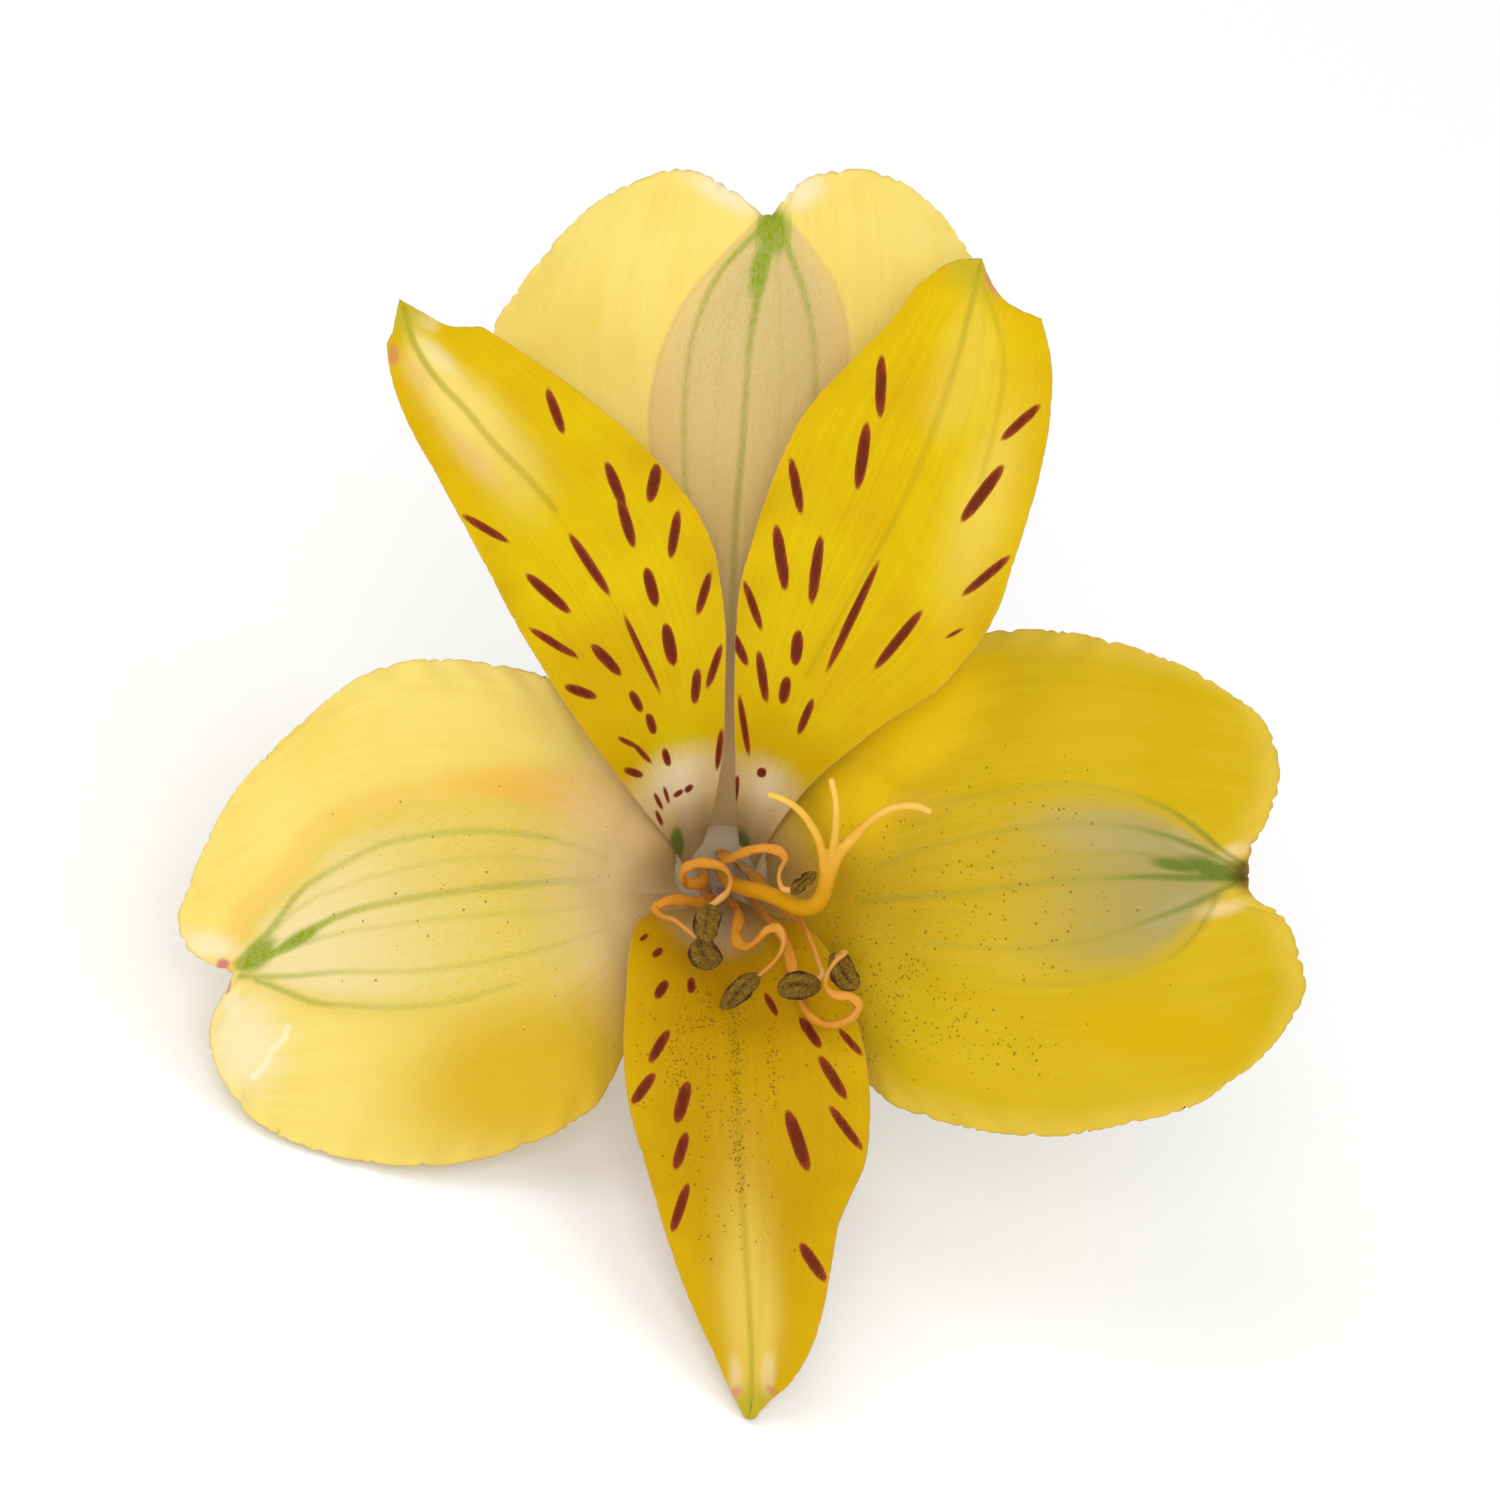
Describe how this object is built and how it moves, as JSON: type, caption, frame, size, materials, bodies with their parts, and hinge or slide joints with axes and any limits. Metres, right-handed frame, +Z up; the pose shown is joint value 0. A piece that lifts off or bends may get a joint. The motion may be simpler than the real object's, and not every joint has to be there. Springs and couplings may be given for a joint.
{
  "type": "alstroemeria bloom",
  "caption": "Open yellow alstroemeria bloom with flecked inner tepals, curled stamens, a forked style and a short cut pedicel, lying on a surface.",
  "frame": {"origin": "centre of the bottom of the bounding box, on the surface that the bloom lies on", "axes": "+Z up; the bloom faces -Y and upwards, and its cut pedicel points to +Y; +X is the bloom's right as it is seen from the front"},
  "size_m": [0.0702, 0.0796, 0.0623],
  "materials": {
    "outer_tepal": "satin fresh petal, light yellow",
    "inner_tepal": "satin fresh petal, golden yellow with maroon flecks",
    "filament": "satin, translucent salmon",
    "anther": "matt, grainy olive pollen",
    "style": "satin amber",
    "ovary": "satin green",
    "pedicel": "satin pale green"
  },
  "bodies": {
    "root": {"outer_tepal_top": "outer_tepal", "outer_tepal_left": "outer_tepal", "outer_tepal_right": "outer_tepal", "inner_tepal_upper_left": "inner_tepal", "inner_tepal_upper_right": "inner_tepal", "inner_tepal_lower": "inner_tepal", "filament_1": "filament", "anther_1": "anther", "filament_2": "filament", "anther_2": "anther", "filament_3": "filament", "anther_3": "anther", "filament_4": "filament", "anther_4": "anther", "filament_5": "filament", "anther_5": "anther", "filament_6": "filament", "anther_6": "anther", "style": "style", "ovary": "ovary", "pedicel": "pedicel"}
  },
  "joints": []
}
